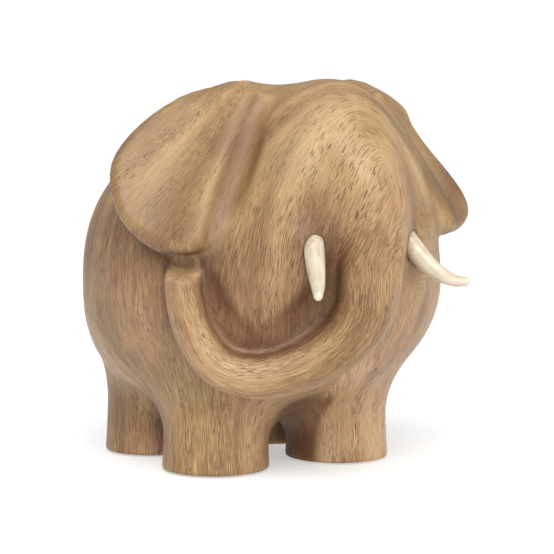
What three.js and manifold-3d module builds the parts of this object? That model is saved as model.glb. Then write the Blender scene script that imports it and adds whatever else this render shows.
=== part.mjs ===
// A carved wooden elephant ornament: one hardwood block, two let-in tusks on dowels, four felt pads.
// Millimetres, +Z up, standing on z = 0. The elephant faces -Y and its right side is -X.
import * as THREE from 'three';
import Module from 'manifold-3d';
import { mergeVertices } from 'three/addons/utils/BufferGeometryUtils.js';

// ---- overall sizes of the carved block -------------------------------------------------------
const BLOCK_WIDTH = 227;        // over the ears, along X
const BLOCK_LENGTH = 240;       // forehead to rump, along Y
const BLOCK_HEIGHT = 216;       // soles to the top of the head, along Z

// The carving is drawn at these sizes, then stretched to the block sizes above.
const DRAWN_WIDTH = 227;
const DRAWN_LENGTH = 240;
const DRAWN_HEIGHT = 216;

// ---- fits ------------------------------------------------------------------------------------
const CLEARANCE = 0.3;          // gap left all round between two pieces that meet
const SOLE_GAP = 0.6;           // height of the carved soles above the shelf

// ---- tusks, dowels and pads --------------------------------------------------------------------
const TUSK_ROOT_DIAMETER = 11.4;
const TUSK_TIP_DIAMETER = 4.8;
const PIN_DIAMETER = 4;
const PIN_LENGTH = 18;
const PAD_DIAMETER = 46;
const PAD_THICKNESS = 1.5;
const PAD_RECESS = PAD_THICKNESS + CLEARANCE - SOLE_GAP;   // depth cut into each sole for its pad

// ---- trunk, ears and the other carved forms (drawn sizes) --------------------------------------
const BARREL_CENTRE = [0, -20, 105];
const BARREL_HALF_WIDTH = 103;
const BARREL_HALF_LENGTH = 108;
const BARREL_RISE = 92;         // centre up to the back
const BARREL_DROP = 78;         // centre down to the belly
const BACK_FULLNESS = 2.35;     // 2 is an ellipse, more is squarer
const BELLY_FULLNESS = 2.6;     // at the flanks and the rump
const CHEST_FULLNESS = 2.0;     // under the trunk, where the chest slopes back to the legs
const CHEST_AT = -70;
const FLANK_AT = 20;
const LEG_OUT = 40.5;           // leg axis to the middle plane
const LEG_ALONG = 39;           // leg axis to the middle of the base
const FOOT_RADIUS = 30.8;
const ANKLE_RADIUS = 28.5;
const ANKLE_HEIGHT = 45;
const LEG_TOP = 62;
const HEAD_CENTRE = [0, -86, 155];
const HEAD_RADII = [53, 49, 60.5];

// Centre line of the trunk from the forehead to the lip: x, y, z and the radius there.
const TRUNK_LINE = [
  [0, -102, 194, 12.5], [0, -115, 183, 14.5], [0, -124, 167, 16.5], [0, -131, 151, 16.5],
  [0, -131, 134, 16.5], [0, -130, 118, 16], [0, -130, 104, 15.5], [-2, -128, 90, 15],
  [-11, -122, 76, 14.2], [-28, -113, 64, 13.2], [-47, -102, 58.5, 12], [-65.5, -92, 63, 11],
  [-77.5, -87, 79, 10.3], [-83, -85, 97, 9.7], [-85.5, -86, 117, 9.3],
];
const TRUNK_LIP = [-85.5, -86, 112];
const TRUNK_LIP_FACING = [-0.25, -0.35, 1];

// The ear is a thick leaf in a tilted plane: a corner of that plane, its downward and outward ways.
const EAR_ORIGIN = [52, -92, 167];
const EAR_DOWN = [0.46, -0.185, -0.867];
const EAR_FACING = [0.524, -0.732, 0.435];
const RIGHT_EAR_OUTLINE = [
  [-2, -42], [20, -44], [41, -36], [56, -17], [66, 6], [66, 24],
  [53, 45], [34, 55], [16, 57], [4, 47], [-6, 20], [-8, -15],
];
const LEFT_EAR_OUTLINE = [
  [-2, -44], [18, -47], [37, -39], [45, -28], [50, -6], [59, 17], [63, 33],
  [58, 45], [44, 49], [22, 45], [4, 41], [-6, 20], [-8, -15],
];
const EAR_HALF_THICKNESS = 6.5;
const EAR_EDGE_RADIUS = 6.2;
const EAR_WAVE = 2.2;           // height of the rolled front edge over the hollow behind it
const EAR_WAVE_LENGTH = 58;
const EAR_WAVE_START = 6;
const EAR_TOP_LINE = [[64, -58, 194, 11], [48, -60, 202, 11], [34, -62, 205, 11], [20, -70, 198, 12]];
const LEFT_EAR_RAISE = 4;       // the left ear's top stands a little higher than the right one's
const RAISE_FROM = -10;
const RAISE_TO = 25;
const EAR_CREASE_LINE = [
  [41.5, -92, 205.5, 4], [48.5, -95.5, 195, 6], [54.5, -98.5, 182.5, 6.8], [61, -101, 169.5, 7.2],
  [67.5, -103.5, 156, 7.2], [74, -106, 144, 6.5], [78, -106.5, 133, 4],
];

// Gouged hollows beside the trunk, and the shallow eye hollows.
const CURL_HOLLOW_LINE = [
  [-27, -139, 127, 8], [-21, -138, 119, 11], [-20, -135, 110, 13], [-23, -131, 99, 13],
  [-31, -127, 88, 11.5], [-42, -121, 79, 9.5], [-54, -113, 73.5, 7.5], [-65, -104, 76, 5],
  [-71, -97, 86, 3],
];
const CHEEK_HOLLOW_LINE = [
  [28, -141, 128, 7], [27, -141, 116, 9], [25, -138, 103, 9], [20, -133, 90, 7], [12, -131, 76, 4],
];
const EYE_HOLLOW_CENTRE = [41, -136, 144];
const EYE_HOLLOW_RADII = [11, 11, 11];
const TAIL_LINE = [[0, 86, 125, 6], [0, 88, 110, 5], [0, 88, 95, 4.5], [0, 85, 80, 5.5], [0, 82, 72, 6]];

// Tusk axes from the socket floor to the tip, in drawn positions.
const RIGHT_TUSK_AXIS = [
  [-29, -116, 138], [-29.5, -123.5, 130], [-33, -131.5, 121], [-37, -139.5, 113],
  [-41.5, -148, 106.5], [-46.5, -156, 102],
];
const LEFT_TUSK_AXIS = [
  [27, -118, 139], [28, -125, 131], [32, -132, 121.5], [37, -139, 113.5], [42, -148, 108.5],
  [47, -156, 108],
];

// How softly neighbouring forms run into each other.
const BLEND_LEG = 22;
const BLEND_LEG_TOP = 24;
const BLEND_HEAD = 34;
const BLEND_EAR = 5;
const BLEND_EAR_TOP = 12;
const BLEND_CREASE = 7;
const BLEND_CURL_HOLLOW = 9;
const BLEND_CHEEK_HOLLOW = 14;
const BLEND_EYE = 9;
const BLEND_TRUNK = 5;
const BLEND_TRUNK_OUTER = 14;    // added where the trunk runs into the left cheek
const BLEND_TRUNK_BROW = 7;      // added where it runs into the forehead
const BLEND_TRUNK_REACH = 26;
const BLEND_TAIL = 4;
const LEG_SPARE = 12;          // leg left below the soles until they are sawn flat

// Mesh fineness of the carving: coarse over the rump, finer over the head.
const CELL_X = 6.4;
const CELL_Z_LEGS = 8;
const CELL_Z_HEAD = 6.1;
const CELL_Y_HEAD = 6.2;
const CELL_Y_RUMP = 11;
const HEAD_ENDS_AT = -38;
const HEAD_STARTS_ABOVE = 100;

const wasm = await Module();
wasm.setup();

// ---- joining and cutting -----------------------------------------------------------------------
function toSolid(geometry) {
  const bare = new THREE.BufferGeometry();
  bare.setAttribute('position', geometry.getAttribute('position').clone());
  if (geometry.index) bare.setIndex(geometry.index.clone());
  const merged = mergeVertices(bare, 1e-4);
  const mesh = new wasm.Mesh({
    numProp: 3,
    vertProperties: new Float32Array(merged.getAttribute('position').array),
    triVerts: new Uint32Array(merged.index.array),
  });
  return new wasm.Manifold(mesh);
}

function toGeometry(solid) {
  const mesh = solid.getMesh();
  const geometry = new THREE.BufferGeometry();
  geometry.setAttribute('position', new THREE.BufferAttribute(new Float32Array(mesh.vertProperties), 3));
  geometry.setIndex(new THREE.BufferAttribute(new Uint32Array(mesh.triVerts), 1));
  geometry.computeVertexNormals();
  return geometry;
}

// ---- distance fields: negative inside, positive outside ------------------------------------------
function softUnion(a, b, reach) {
  const h = Math.max(reach - Math.abs(a - b), 0) / reach;
  return Math.min(a, b) - h * h * reach / 4;
}

function softCut(a, b, reach) {
  return -softUnion(-a, -b, reach);
}

function smoothStep(value, from, to) {
  const t = Math.min(Math.max((value - from) / (to - from), 0), 1);
  return t * t * (3 - 2 * t);
}

function ellipsoid(x, y, z, centre, radii) {
  const px = (x - centre[0]) / radii[0];
  const py = (y - centre[1]) / radii[1];
  const pz = (z - centre[2]) / radii[2];
  const near = Math.hypot(px, py, pz);
  const steep = Math.hypot(px / radii[0], py / radii[1], pz / radii[2]);
  return near * (near - 1) / Math.max(steep, 1e-9);
}

// A smooth line through x, y, z, radius rows, cut into short tapering capsules.
function sweptLine(rows, steps) {
  const places = new THREE.CatmullRomCurve3(rows.map((r) => new THREE.Vector3(r[0], r[1], r[2])),
    false, 'catmullrom', 0.5);
  const radii = new THREE.CatmullRomCurve3(rows.map((r) => new THREE.Vector3(r[3], 0, 0)),
    false, 'catmullrom', 0.5);
  const count = (rows.length - 1) * steps;
  const beads = [];
  for (let i = 0; i <= count; i += 1) {
    const at = places.getPoint(i / count);
    beads.push([at.x, at.y, at.z, radii.getPoint(i / count).x]);
  }
  const box = new THREE.Box3().setFromPoints(beads.map((b) => new THREE.Vector3(b[0], b[1], b[2])));
  const widest = Math.max(...beads.map((b) => b[3]));
  return { beads, box, widest };
}

function alongLine(x, y, z, line, reach) {
  const { box, beads, widest } = line;
  const dx = Math.max(box.min.x - x, x - box.max.x, 0);
  const dy = Math.max(box.min.y - y, y - box.max.y, 0);
  const dz = Math.max(box.min.z - z, z - box.max.z, 0);
  const away = Math.hypot(dx, dy, dz) - widest;
  if (away > reach) return away;
  let best = Infinity;
  for (let i = 1; i < beads.length; i += 1) {
    const a = beads[i - 1];
    const b = beads[i];
    const ux = b[0] - a[0];
    const uy = b[1] - a[1];
    const uz = b[2] - a[2];
    const px = x - a[0];
    const py = y - a[1];
    const pz = z - a[2];
    const t = Math.min(Math.max((px * ux + py * uy + pz * uz) / (ux * ux + uy * uy + uz * uz), 0), 1);
    const d = Math.hypot(px - t * ux, py - t * uy, pz - t * uz) - (a[3] + t * (b[3] - a[3]));
    if (d < best) best = d;
  }
  return best;
}

// ---- the barrel of the body and the four legs ----------------------------------------------------
function barrel(x, y, z) {
  const rise = z - BARREL_CENTRE[2];
  const tall = rise > 0 ? BARREL_RISE : BARREL_DROP;
  const belly = CHEST_FULLNESS + (BELLY_FULLNESS - CHEST_FULLNESS) * smoothStep(y, CHEST_AT, FLANK_AT);
  const fullness = rise > 0 ? BACK_FULLNESS : belly;
  const px = (x - BARREL_CENTRE[0]) / BARREL_HALF_WIDTH;
  const py = (y - BARREL_CENTRE[1]) / BARREL_HALF_LENGTH;
  const round = Math.hypot(px, py) + 1e-9;
  const high = Math.abs(rise) / tall + 1e-9;
  const level = (round ** fullness + high ** fullness) ** (1 / fullness);
  const shared = level ** (1 - fullness);
  const slopeRound = shared * round ** (fullness - 2);
  const slopeHigh = shared * high ** (fullness - 1) / tall;
  const slope = Math.hypot(slopeRound * px / BARREL_HALF_WIDTH, slopeRound * py / BARREL_HALF_LENGTH,
    slopeHigh);
  return (level - 1) / slope;
}

function legs(x, y, z) {
  const fromAxis = Math.hypot(Math.abs(x) - LEG_OUT, Math.abs(y) - LEG_ALONG);
  const up = Math.min(Math.max(z / ANKLE_HEIGHT, 0), 1);
  const radius = FOOT_RADIUS - (FOOT_RADIUS - ANKLE_RADIUS) * Math.sqrt(up);
  const column = softCut(fromAxis - radius, -z - LEG_SPARE, LEG_SPARE / 2);
  return softCut(column, z - LEG_TOP, BLEND_LEG_TOP);
}

// ---- the ears: thick leaves with a rolled front edge and a faint hollow behind it ------------------
const earFacing = new THREE.Vector3(...EAR_FACING).normalize();
const earDown = new THREE.Vector3(...EAR_DOWN).normalize();
earFacing.addScaledVector(earDown, -earFacing.dot(earDown)).normalize();
const earOut = new THREE.Vector3().crossVectors(earFacing, earDown);
const EAR_OUTLINE_STEPS = 3;
function earEdge(outline) {
  const corners = outline.map((p) => new THREE.Vector3(p[0], p[1], 0));
  const curve = new THREE.CatmullRomCurve3(corners, true, 'catmullrom', 0.5);
  const count = outline.length * EAR_OUTLINE_STEPS;
  return Array.from({ length: count }, (_, i) => curve.getPoint(i / count));
}

const rightEarEdge = earEdge(RIGHT_EAR_OUTLINE);
const leftEarEdge = earEdge(LEFT_EAR_OUTLINE);

function insideOutline(u, v, edge) {
  let nearest = Infinity;
  let side = 1;
  for (let i = 0, j = edge.length - 1; i < edge.length; j = i, i += 1) {
    const a = edge[i];
    const b = edge[j];
    const ex = b.x - a.x;
    const ey = b.y - a.y;
    const wx = u - a.x;
    const wy = v - a.y;
    const t = Math.min(Math.max((wx * ex + wy * ey) / (ex * ex + ey * ey), 0), 1);
    nearest = Math.min(nearest, (wx - ex * t) ** 2 + (wy - ey * t) ** 2);
    const above = v >= a.y;
    const below = v < b.y;
    const left = ex * wy > ey * wx;
    if ((above && below && left) || (!above && !below && !left)) side = -side;
  }
  return side * Math.sqrt(nearest);
}

const EAR_REACH = 100;
function ear(x, y, z) {
  const px = Math.abs(x) - EAR_ORIGIN[0];
  const py = y - EAR_ORIGIN[1];
  const pz = z - EAR_ORIGIN[2];
  const far = Math.hypot(px, py, pz);
  if (far > EAR_REACH) return far - EAR_REACH + BLEND_EAR;
  const u = px * earOut.x + py * earOut.y + pz * earOut.z;
  const v = px * earDown.x + py * earDown.y + pz * earDown.z;
  const w = px * earFacing.x + py * earFacing.y + pz * earFacing.z;
  const wave = EAR_WAVE * Math.cos(2 * Math.PI * (u - EAR_WAVE_START) / EAR_WAVE_LENGTH);
  const a = insideOutline(u, v, x > 0 ? leftEarEdge : rightEarEdge) + EAR_EDGE_RADIUS;
  const b = Math.abs(w - wave) - EAR_HALF_THICKNESS + EAR_EDGE_RADIUS;
  return Math.hypot(Math.max(a, 0), Math.max(b, 0)) + Math.min(Math.max(a, b), 0) - EAR_EDGE_RADIUS;
}

// ---- the whole carving -----------------------------------------------------------------------------
const trunkLine = sweptLine(TRUNK_LINE, 6);
const earTopLine = sweptLine(EAR_TOP_LINE, 2);
const creaseLine = sweptLine(EAR_CREASE_LINE, 2);
const curlHollowLine = sweptLine(CURL_HOLLOW_LINE, 3);
const cheekHollowLine = sweptLine(CHEEK_HOLLOW_LINE, 3);
const tailLine = sweptLine(TAIL_LINE, 2);
const lipFacing = new THREE.Vector3(...TRUNK_LIP_FACING).normalize();
const LIP_EDGE = 2;
const LIP_SIDE = -50;           // only the turned-up end of the trunk lies beyond this x
const FOREHEAD_FROM = 130;
const FOREHEAD_TO = 175;
const CHEEK_LEAN = 0.35;        // the soft side of the trunk starts farther right higher up
const CHEEK_MIDDLE = 80;
const CHEEK_FROM = -6;
const CHEEK_TO = 16;
const LINE_REACH = 30;

function trunk(x, y, z) {
  const rod = alongLine(x, y, z, trunkLine, LINE_REACH);
  if (x > LIP_SIDE) return rod;
  const past = (x - TRUNK_LIP[0]) * lipFacing.x + (y - TRUNK_LIP[1]) * lipFacing.y
    + (z - TRUNK_LIP[2]) * lipFacing.z;
  return softCut(rod, past, LIP_EDGE);
}

function carving(x, y, z) {
  const side = Math.abs(x);
  let d = softUnion(barrel(x, y, z), legs(x, y, z), BLEND_LEG);
  d = softUnion(d, ellipsoid(x, y, z, HEAD_CENTRE, HEAD_RADII), BLEND_HEAD);
  const curl = alongLine(x, y, z, curlHollowLine, LINE_REACH);
  d = softCut(d, -curl, BLEND_CURL_HOLLOW);
  d = softCut(d, -alongLine(x, y, z, cheekHollowLine, LINE_REACH), BLEND_CHEEK_HOLLOW);
  const raised = z - LEFT_EAR_RAISE * smoothStep(x, RAISE_FROM, RAISE_TO);
  d = softUnion(d, alongLine(side, y, raised, earTopLine, LINE_REACH), BLEND_EAR_TOP);
  d = softUnion(d, ear(x, y, z), BLEND_EAR);
  d = softCut(d, -alongLine(side, y, z, creaseLine, LINE_REACH), BLEND_CREASE);
  d = softCut(d, -ellipsoid(side, y, z, EYE_HOLLOW_CENTRE, EYE_HOLLOW_RADII), BLEND_EYE);
  const leftOfCurl = smoothStep(x + CHEEK_LEAN * (z - CHEEK_MIDDLE), CHEEK_FROM, CHEEK_TO);
  const outer = BLEND_TRUNK_OUTER * smoothStep(curl, 0, BLEND_TRUNK_REACH) * leftOfCurl;
  const brow = BLEND_TRUNK_BROW * smoothStep(z, FOREHEAD_FROM, FOREHEAD_TO);
  d = softUnion(d, trunk(x, y, z), BLEND_TRUNK + Math.max(outer, brow));
  return softUnion(d, alongLine(x, y, z, tailLine, LINE_REACH), BLEND_TAIL);
}

// ---- skinning: one vertex in every cell the surface crosses, then pulled on to the surface -----------
function stops(from, to, step) {
  const count = Math.ceil((to - from) / step);
  return Array.from({ length: count + 1 }, (_, i) => from + (to - from) * i / count);
}

const LONGEST_PULL = 2;
function pullOn(p, field) {
  const e = 0.2;
  for (let k = 0; k < 4; k += 1) {
    const d = field(p[0], p[1], p[2]);
    const gx = (field(p[0] + e, p[1], p[2]) - field(p[0] - e, p[1], p[2])) / (2 * e);
    const gy = (field(p[0], p[1] + e, p[2]) - field(p[0], p[1] - e, p[2])) / (2 * e);
    const gz = (field(p[0], p[1], p[2] + e) - field(p[0], p[1], p[2] - e)) / (2 * e);
    const slope = Math.max(Math.hypot(gx, gy, gz), 0.5);
    const step = Math.min(Math.max(d / slope, -LONGEST_PULL), LONGEST_PULL) / slope;
    p[0] -= step * gx;
    p[1] -= step * gy;
    p[2] -= step * gz;
  }
}

const CORNERS = [
  [0, 0, 0], [1, 0, 0], [0, 1, 0], [1, 1, 0], [0, 0, 1], [1, 0, 1], [0, 1, 1], [1, 1, 1],
];
const EDGES = [
  [0, 1], [2, 3], [4, 5], [6, 7], [0, 2], [1, 3], [4, 6], [5, 7], [0, 4], [1, 5], [2, 6], [3, 7],
];
const FACES = [0, 1, 2].flatMap((axis) => [0, 1].map((side) => (
  EDGES.flatMap((edge, e) => (edge.every((c) => CORNERS[c][axis] === side) ? [e] : [])))));

// Sorts the crossed edges of one cell into sheets, so two sheets in a cell never share a vertex.
function sheets(v) {
  const crossed = EDGES.map(([a, b]) => (v[a] < 0) !== (v[b] < 0));
  const sheet = EDGES.map((_, e) => e);
  const join = (a, b) => {
    const from = sheet[a];
    const to = sheet[b];
    sheet.forEach((s, e) => { if (s === from) sheet[e] = to; });
  };
  for (const face of FACES) {
    const on = face.filter((e) => crossed[e]);
    if (on.length === 2) join(on[0], on[1]);
    if (on.length === 4) {
      const inner = new Set(on.flatMap((e) => EDGES[e]).filter((c) => v[c] < 0));
      for (const c of inner) join(...on.filter((e) => EDGES[e].includes(c)));
    }
  }
  const groups = new Map();
  EDGES.forEach((_, e) => {
    if (crossed[e]) groups.set(sheet[e], [...(groups.get(sheet[e]) ?? []), e]);
  });
  return groups.values();
}

function skin(field, xs, ys, zs) {
  const nx = xs.length;
  const ny = ys.length;
  const nz = zs.length;
  const at = (i, j, k) => (k * ny + j) * nx + i;
  const value = new Float64Array(nx * ny * nz);
  for (let k = 0; k < nz; k += 1) {
    for (let j = 0; j < ny; j += 1) {
      for (let i = 0; i < nx; i += 1) value[at(i, j, k)] = field(xs[i], ys[j], zs[k]);
    }
  }
  const vertexOf = new Map();
  const points = [];
  for (let k = 0; k < nz - 1; k += 1) {
    for (let j = 0; j < ny - 1; j += 1) {
      for (let i = 0; i < nx - 1; i += 1) {
        const v = CORNERS.map((c) => value[at(i + c[0], j + c[1], k + c[2])]);
        for (const group of sheets(v)) {
          const sum = [0, 0, 0];
          for (const e of group) {
            const [a, b] = EDGES[e];
            const t = v[a] / (v[a] - v[b]);
            const ca = CORNERS[a];
            const cb = CORNERS[b];
            sum[0] += xs[i + ca[0]] * (1 - t) + xs[i + cb[0]] * t;
            sum[1] += ys[j + ca[1]] * (1 - t) + ys[j + cb[1]] * t;
            sum[2] += zs[k + ca[2]] * (1 - t) + zs[k + cb[2]] * t;
            vertexOf.set(at(i, j, k) * EDGES.length + e, points.length);
          }
          points.push(sum.map((s) => s / group.length));
        }
      }
    }
  }
  // Each crossed grid edge gives one quad between the four cells round it. The ring lists those
  // cells as steps along the two other axes, with the edge's place in each cell.
  const rings = [
    { way: [1, 0, 0], cells: [[0, -1, -1, 3], [0, 0, -1, 2], [0, 0, 0, 0], [0, -1, 0, 1]] },
    { way: [0, 1, 0], cells: [[-1, 0, -1, 7], [-1, 0, 0, 5], [0, 0, 0, 4], [0, 0, -1, 6]] },
    { way: [0, 0, 1], cells: [[-1, -1, 0, 11], [0, -1, 0, 10], [0, 0, 0, 8], [-1, 0, 0, 9]] },
  ];
  const quads = [];
  for (let k = 1; k < nz - 1; k += 1) {
    for (let j = 1; j < ny - 1; j += 1) {
      for (let i = 1; i < nx - 1; i += 1) {
        const inside = value[at(i, j, k)] < 0;
        for (const { way, cells } of rings) {
          if (inside !== (value[at(i + way[0], j + way[1], k + way[2])] < 0)) {
            const quad = cells.map(([di, dj, dk, e]) => (
              vertexOf.get(at(i + di, j + dj, k + dk) * EDGES.length + e)));
            quads.push(inside ? quad : quad.reverse());
          }
        }
      }
    }
  }
  return { points, quads };
}

// Evens out the cells along the surface without leaving it.
function evenOut(points, quads, field, rounds) {
  const neighbours = points.map(() => new Set());
  for (const q of quads) {
    for (let n = 0; n < 4; n += 1) {
      neighbours[q[n]].add(q[(n + 1) % 4]);
      neighbours[q[(n + 1) % 4]].add(q[n]);
    }
  }
  points.forEach((p) => pullOn(p, field));
  for (let r = 0; r < rounds; r += 1) {
    const moved = points.map((p, n) => {
      const mean = [0, 0, 0];
      for (const m of neighbours[n]) points[m].forEach((c, axis) => { mean[axis] += c; });
      return p.map((c, axis) => (c + mean[axis] / neighbours[n].size) / 2);
    });
    moved.forEach((p, n) => {
      pullOn(p, field);
      points[n] = p;
    });
  }
}

function skinGeometry({ points, quads }, scale, lift) {
  const apart = (a, b) => Math.hypot(...points[a].map((c, axis) => c - points[b][axis]));
  const triangles = quads.flatMap(([a, b, c, d]) => (
    apart(a, c) < apart(b, d) ? [a, b, c, a, c, d] : [a, b, d, b, c, d]));
  const geometry = new THREE.BufferGeometry();
  geometry.setAttribute('position', new THREE.Float32BufferAttribute(points.flat(), 3));
  geometry.setIndex(triangles);
  geometry.scale(scale.x, scale.y, scale.z);
  geometry.translate(0, 0, lift);
  return geometry;
}

// ---- tusks: a turned taper bent along its axis --------------------------------------------------------
const stretch = new THREE.Vector3(BLOCK_WIDTH / DRAWN_WIDTH, BLOCK_LENGTH / DRAWN_LENGTH,
  BLOCK_HEIGHT / DRAWN_HEIGHT);

function placed([x, y, z]) {
  return new THREE.Vector3(x * stretch.x, y * stretch.y, z * stretch.z + SOLE_GAP);
}

function tuskAxis(rows) {
  return new THREE.CatmullRomCurve3(rows.map(placed), false, 'catmullrom', 0.5);
}

// Bends a part turned about +Z, whose z runs from 0 to the axis length, along a curve.
function bendAlong(geometry, curve) {
  const length = curve.getLength();
  const position = geometry.getAttribute('position');
  const across = new THREE.Vector3(1, 0, 0);
  for (let i = 0; i < position.count; i += 1) {
    const t = Math.min(Math.max(position.getZ(i) / length, 0), 1);
    const centre = curve.getPointAt(t);
    const way = curve.getTangentAt(t);
    const beyond = position.getZ(i) - t * length;
    const u = across.clone().addScaledVector(way, -across.dot(way)).normalize();
    const v = new THREE.Vector3().crossVectors(way, u);
    centre.addScaledVector(u, position.getX(i)).addScaledVector(v, position.getY(i));
    centre.addScaledVector(way, beyond);
    position.setXYZ(i, centre.x, centre.y, centre.z);
  }
  return geometry;
}

const TUSK_SIDES = 24;
const TUSK_RINGS = 14;
const TIP_RINGS = 6;
const TUSK_TAPER = 2.2;         // 1 narrows evenly, more keeps the root full for longer
// grow makes the same form larger all round, as the drill and gouge that clear its socket.
function tuskGeometry(curve, grow) {
  const root = TUSK_ROOT_DIAMETER / 2;
  const tip = TUSK_TIP_DIAMETER / 2;
  const straight = curve.getLength() - tip;
  const profile = [new THREE.Vector2(0, -grow)];
  for (let i = 0; i <= TUSK_RINGS; i += 1) {
    const t = i / TUSK_RINGS;
    const radius = root - (root - tip) * t ** TUSK_TAPER;
    profile.push(new THREE.Vector2(radius + grow, straight * t - grow * (1 - t)));
  }
  for (let i = 1; i < TIP_RINGS; i += 1) {
    const angle = i / TIP_RINGS * Math.PI / 2;
    const reach = tip + grow;
    profile.push(new THREE.Vector2(reach * Math.cos(angle), straight + reach * Math.sin(angle)));
  }
  profile.push(new THREE.Vector2(0, straight + tip + grow));
  const turned = new THREE.LatheGeometry(profile, TUSK_SIDES);
  turned.rotateX(Math.PI / 2);
  return bendAlong(turned, curve);
}

// A straight round rod or drill from one point towards another.
function rodGeometry(from, way, length, diameter, sides) {
  const rod = new THREE.CylinderGeometry(diameter / 2, diameter / 2, length, sides);
  rod.translate(0, length / 2, 0);
  rod.applyQuaternion(new THREE.Quaternion().setFromUnitVectors(new THREE.Vector3(0, 1, 0), way));
  rod.translate(from.x, from.y, from.z);
  return rod;
}

const PIN_SIDES = 20;
function tuskSet(rows) {
  const curve = tuskAxis(rows);
  const root = curve.getPointAt(0);
  const way = curve.getTangentAt(0);
  const pinStart = root.clone().addScaledVector(way, -PIN_LENGTH / 2);
  const holeStart = pinStart.clone().addScaledVector(way, -CLEARANCE);
  const hole = toSolid(rodGeometry(holeStart, way, PIN_LENGTH + 2 * CLEARANCE,
    PIN_DIAMETER + 2 * CLEARANCE, PIN_SIDES));
  const socket = toSolid(tuskGeometry(curve, CLEARANCE));
  return {
    tusk: toGeometry(toSolid(tuskGeometry(curve, 0)).subtract(hole)),
    pin: rodGeometry(pinStart, way, PIN_LENGTH, PIN_DIAMETER, PIN_SIDES),
    cut: socket.add(hole),
  };
}

// ---- feet ---------------------------------------------------------------------------------------------
const PAD_SIDES = 40;
const FEET = {
  front_right: [-1, -1], front_left: [1, -1], rear_right: [-1, 1], rear_left: [1, 1],
};

function discGeometry(diameter, from, to) {
  const disc = new THREE.CylinderGeometry(diameter / 2, diameter / 2, to - from, PAD_SIDES);
  disc.rotateX(Math.PI / 2);
  disc.translate(0, 0, (from + to) / 2);
  return disc;
}

function footCentre([sideways, along]) {
  return [sideways * LEG_OUT * stretch.x, along * LEG_ALONG * stretch.y];
}

// ---- materials ------------------------------------------------------------------------------------------
function wood() {
  return new THREE.MeshStandardMaterial({ color: 0xb98f64, roughness: 0.55, metalness: 0 });
}

function bone() {
  return new THREE.MeshStandardMaterial({ color: 0xece1c6, roughness: 0.42, metalness: 0 });
}

function dowelWood() {
  return new THREE.MeshStandardMaterial({ color: 0xd8bd90, roughness: 0.7, metalness: 0 });
}

function felt() {
  return new THREE.MeshStandardMaterial({ color: 0x4a3c30, roughness: 0.95, metalness: 0 });
}

function addPart(group, name, geometry, material) {
  const mesh = new THREE.Mesh(geometry, material);
  mesh.name = name;
  group.add(mesh);
  return mesh;
}

// ---- the block: carve, then cut the sockets and the recesses -------------------------------------
const MARGIN = 10;
const xs = stops(-DRAWN_WIDTH / 2 - MARGIN, DRAWN_WIDTH / 2 + MARGIN, CELL_X);
const zs = [
  ...stops(-LEG_SPARE - MARGIN, HEAD_STARTS_ABOVE, CELL_Z_LEGS).slice(0, -1),
  ...stops(HEAD_STARTS_ABOVE, DRAWN_HEIGHT + MARGIN, CELL_Z_HEAD),
];
const front = BARREL_CENTRE[1] - DRAWN_LENGTH / 2 - 2 * MARGIN;
const rear = BARREL_CENTRE[1] + DRAWN_LENGTH / 2 + MARGIN;
const ys = [
  ...stops(front, HEAD_ENDS_AT, CELL_Y_HEAD).slice(0, -1),
  ...stops(HEAD_ENDS_AT, rear, CELL_Y_RUMP),
];
const net = skin(carving, xs, ys, zs);
evenOut(net.points, net.quads, carving, 6);
let block = toSolid(skinGeometry(net, stretch, SOLE_GAP));

// The soles are sawn flat.
const sawn = new THREE.BoxGeometry(2 * BLOCK_WIDTH, 2 * BLOCK_LENGTH, BLOCK_HEIGHT);
sawn.translate(0, 0, SOLE_GAP - BLOCK_HEIGHT / 2);
block = block.subtract(toSolid(sawn));

const right = tuskSet(RIGHT_TUSK_AXIS);
const left = tuskSet(LEFT_TUSK_AXIS);
block = block.subtract(right.cut).subtract(left.cut);
for (const foot of Object.values(FEET)) {
  const recess = discGeometry(PAD_DIAMETER + 2 * CLEARANCE, -MARGIN, SOLE_GAP + PAD_RECESS);
  const [x, y] = footCentre(foot);
  recess.translate(x, y, 0);
  block = block.subtract(toSolid(recess));
}

const elephant = new THREE.Group();
elephant.name = 'carved_elephant';
addPart(elephant, 'carved_body', toGeometry(block), wood());
addPart(elephant, 'tusk_right', right.tusk, bone());
addPart(elephant, 'tusk_left', left.tusk, bone());
addPart(elephant, 'pin_right', right.pin, dowelWood());
addPart(elephant, 'pin_left', left.pin, dowelWood());
for (const [name, foot] of Object.entries(FEET)) {
  const pad = addPart(elephant, `pad_${name}`, discGeometry(PAD_DIAMETER, 0, PAD_THICKNESS), felt());
  const [x, y] = footCentre(foot);
  pad.position.set(x, y, 0);
}

// The origin is the middle of the whole outline, tusks included, on the shelf.
const outline = new THREE.Box3().setFromObject(elephant);
const middle = outline.getCenter(new THREE.Vector3());
for (const part of elephant.children) {
  part.position.x -= middle.x;
  part.position.y -= middle.y;
}

export default elephant;
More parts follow.
